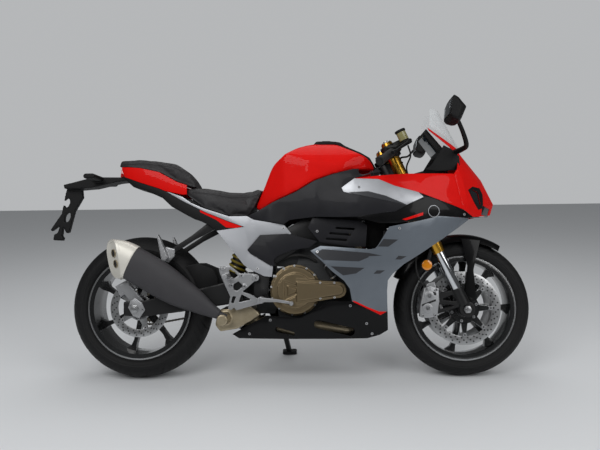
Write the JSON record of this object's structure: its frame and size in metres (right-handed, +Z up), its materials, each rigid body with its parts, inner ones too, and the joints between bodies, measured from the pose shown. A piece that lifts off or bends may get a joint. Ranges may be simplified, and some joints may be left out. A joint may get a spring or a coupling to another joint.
{
  "type": "sport motorcycle",
  "caption": "Sport motorcycle with faired body, steering fork, two road wheels, chain drive and side stand, parked leaning on its stand.",
  "frame": {"origin": "middle of the machine on the floor, parked on its side stand", "axes": "+X forward, +Y to the rider's left, +Z up"},
  "size_m": [2.166, 0.8662, 1.2153],
  "materials": {
    "black_steel": "satin",
    "black_alloy": "satin",
    "tyre": "matte",
    "disc_steel": "brushed",
    "alloy": "satin",
    "gold_alloy": "anodised",
    "chrome": "polished",
    "rubber": "matte",
    "bronze_case": "satin",
    "beige_steel": "satin",
    "red_paint": "glossy",
    "silver_paint": "satin",
    "blue_grey_paint": "satin",
    "charcoal": "matte",
    "black_plastic": "satin",
    "vinyl": "matte",
    "yellow_spring": "glossy",
    "clear": "clear",
    "lamp": "dark",
    "amber_lens": "glossy",
    "red_lens": "glossy",
    "dark_gloss": "glossy"
  },
  "bodies": {
    "chassis": {"band_panels": "dark_gloss", "belly_pan": "black_plastic", "clutch_cover": "bronze_case", "drive_chain": "disc_steel", "engine_case": "black_alloy", "exhaust_pipes": "bronze_case", "footrests": "alloy", "fuel_tank": "red_paint", "generator_cover": "bronze_case", "headlamps": "lamp", "instrument_panel": "charcoal", "knee_covers": "charcoal", "lower_fairings": "blue_grey_paint", "main_frame": "black_steel", "mirrors": "black_plastic", "muffler": "black_steel", "muffler_cap": "beige_steel", "nose_cowl": "red_paint", "passenger_pegs": "alloy", "passenger_seat": "vinyl", "plate_carrier": "black_plastic", "radiator": "black_alloy", "rear_axle": "alloy", "rear_caliper": "alloy", "rear_hugger": "black_plastic", "rear_shock": "yellow_spring", "rider_seat": "vinyl", "scoop_panels": "silver_paint", "side_covers": "silver_paint", "subframe": "black_steel", "swingarm": "black_alloy", "tail_cowl": "red_paint", "tail_lamp": "red_lens", "tail_underside": "charcoal", "tank_cover": "charcoal", "tank_panels": "charcoal", "upper_fairings": "red_paint", "vent_covers": "black_plastic", "windscreen": "clear"},
    "fork": {"fork_tubes": "gold_alloy", "stanchions": "chrome", "fork_feet": "black_alloy", "front_axle": "alloy", "yokes": "black_alloy", "front_fender": "black_plastic", "front_calipers": "alloy", "handlebars": "black_alloy", "grips": "rubber", "controls": "black_plastic", "reflectors": "amber_lens"},
    "front_wheel": {"front_tyre": "tyre", "front_rim": "black_alloy", "front_discs": "disc_steel"},
    "rear_wheel": {"rear_tyre": "tyre", "rear_rim": "black_alloy", "rear_disc": "disc_steel", "rear_sprocket": "disc_steel"},
    "side_stand": {"side_stand": "black_steel"}
  },
  "joints": [
    {"name": "steering", "type": "hinge", "parent": "chassis", "child": "fork", "pos_m": [0.50506, -0.04668, 0.82126], "axis": [-0.4147, 0.158, 0.8961], "range_deg": [-27, 27]},
    {"name": "front_wheel_spin", "type": "hinge", "parent": "fork", "child": "front_wheel", "pos_m": [0.783, -0.13918, 0.29664], "axis": [0, 0.9848, -0.1736], "continuous": true},
    {"name": "rear_wheel_spin", "type": "hinge", "parent": "chassis", "child": "rear_wheel", "pos_m": [-0.647, -0.13657, 0.31141], "axis": [0, 0.9848, -0.1736], "continuous": true},
    {"name": "side_stand_swing", "type": "hinge", "parent": "chassis", "child": "side_stand", "pos_m": [-0.037, 0.0009, 0.22726], "axis": [0.187, 0.8751, 0.4464], "range_deg": [0, 95]}
  ]
}
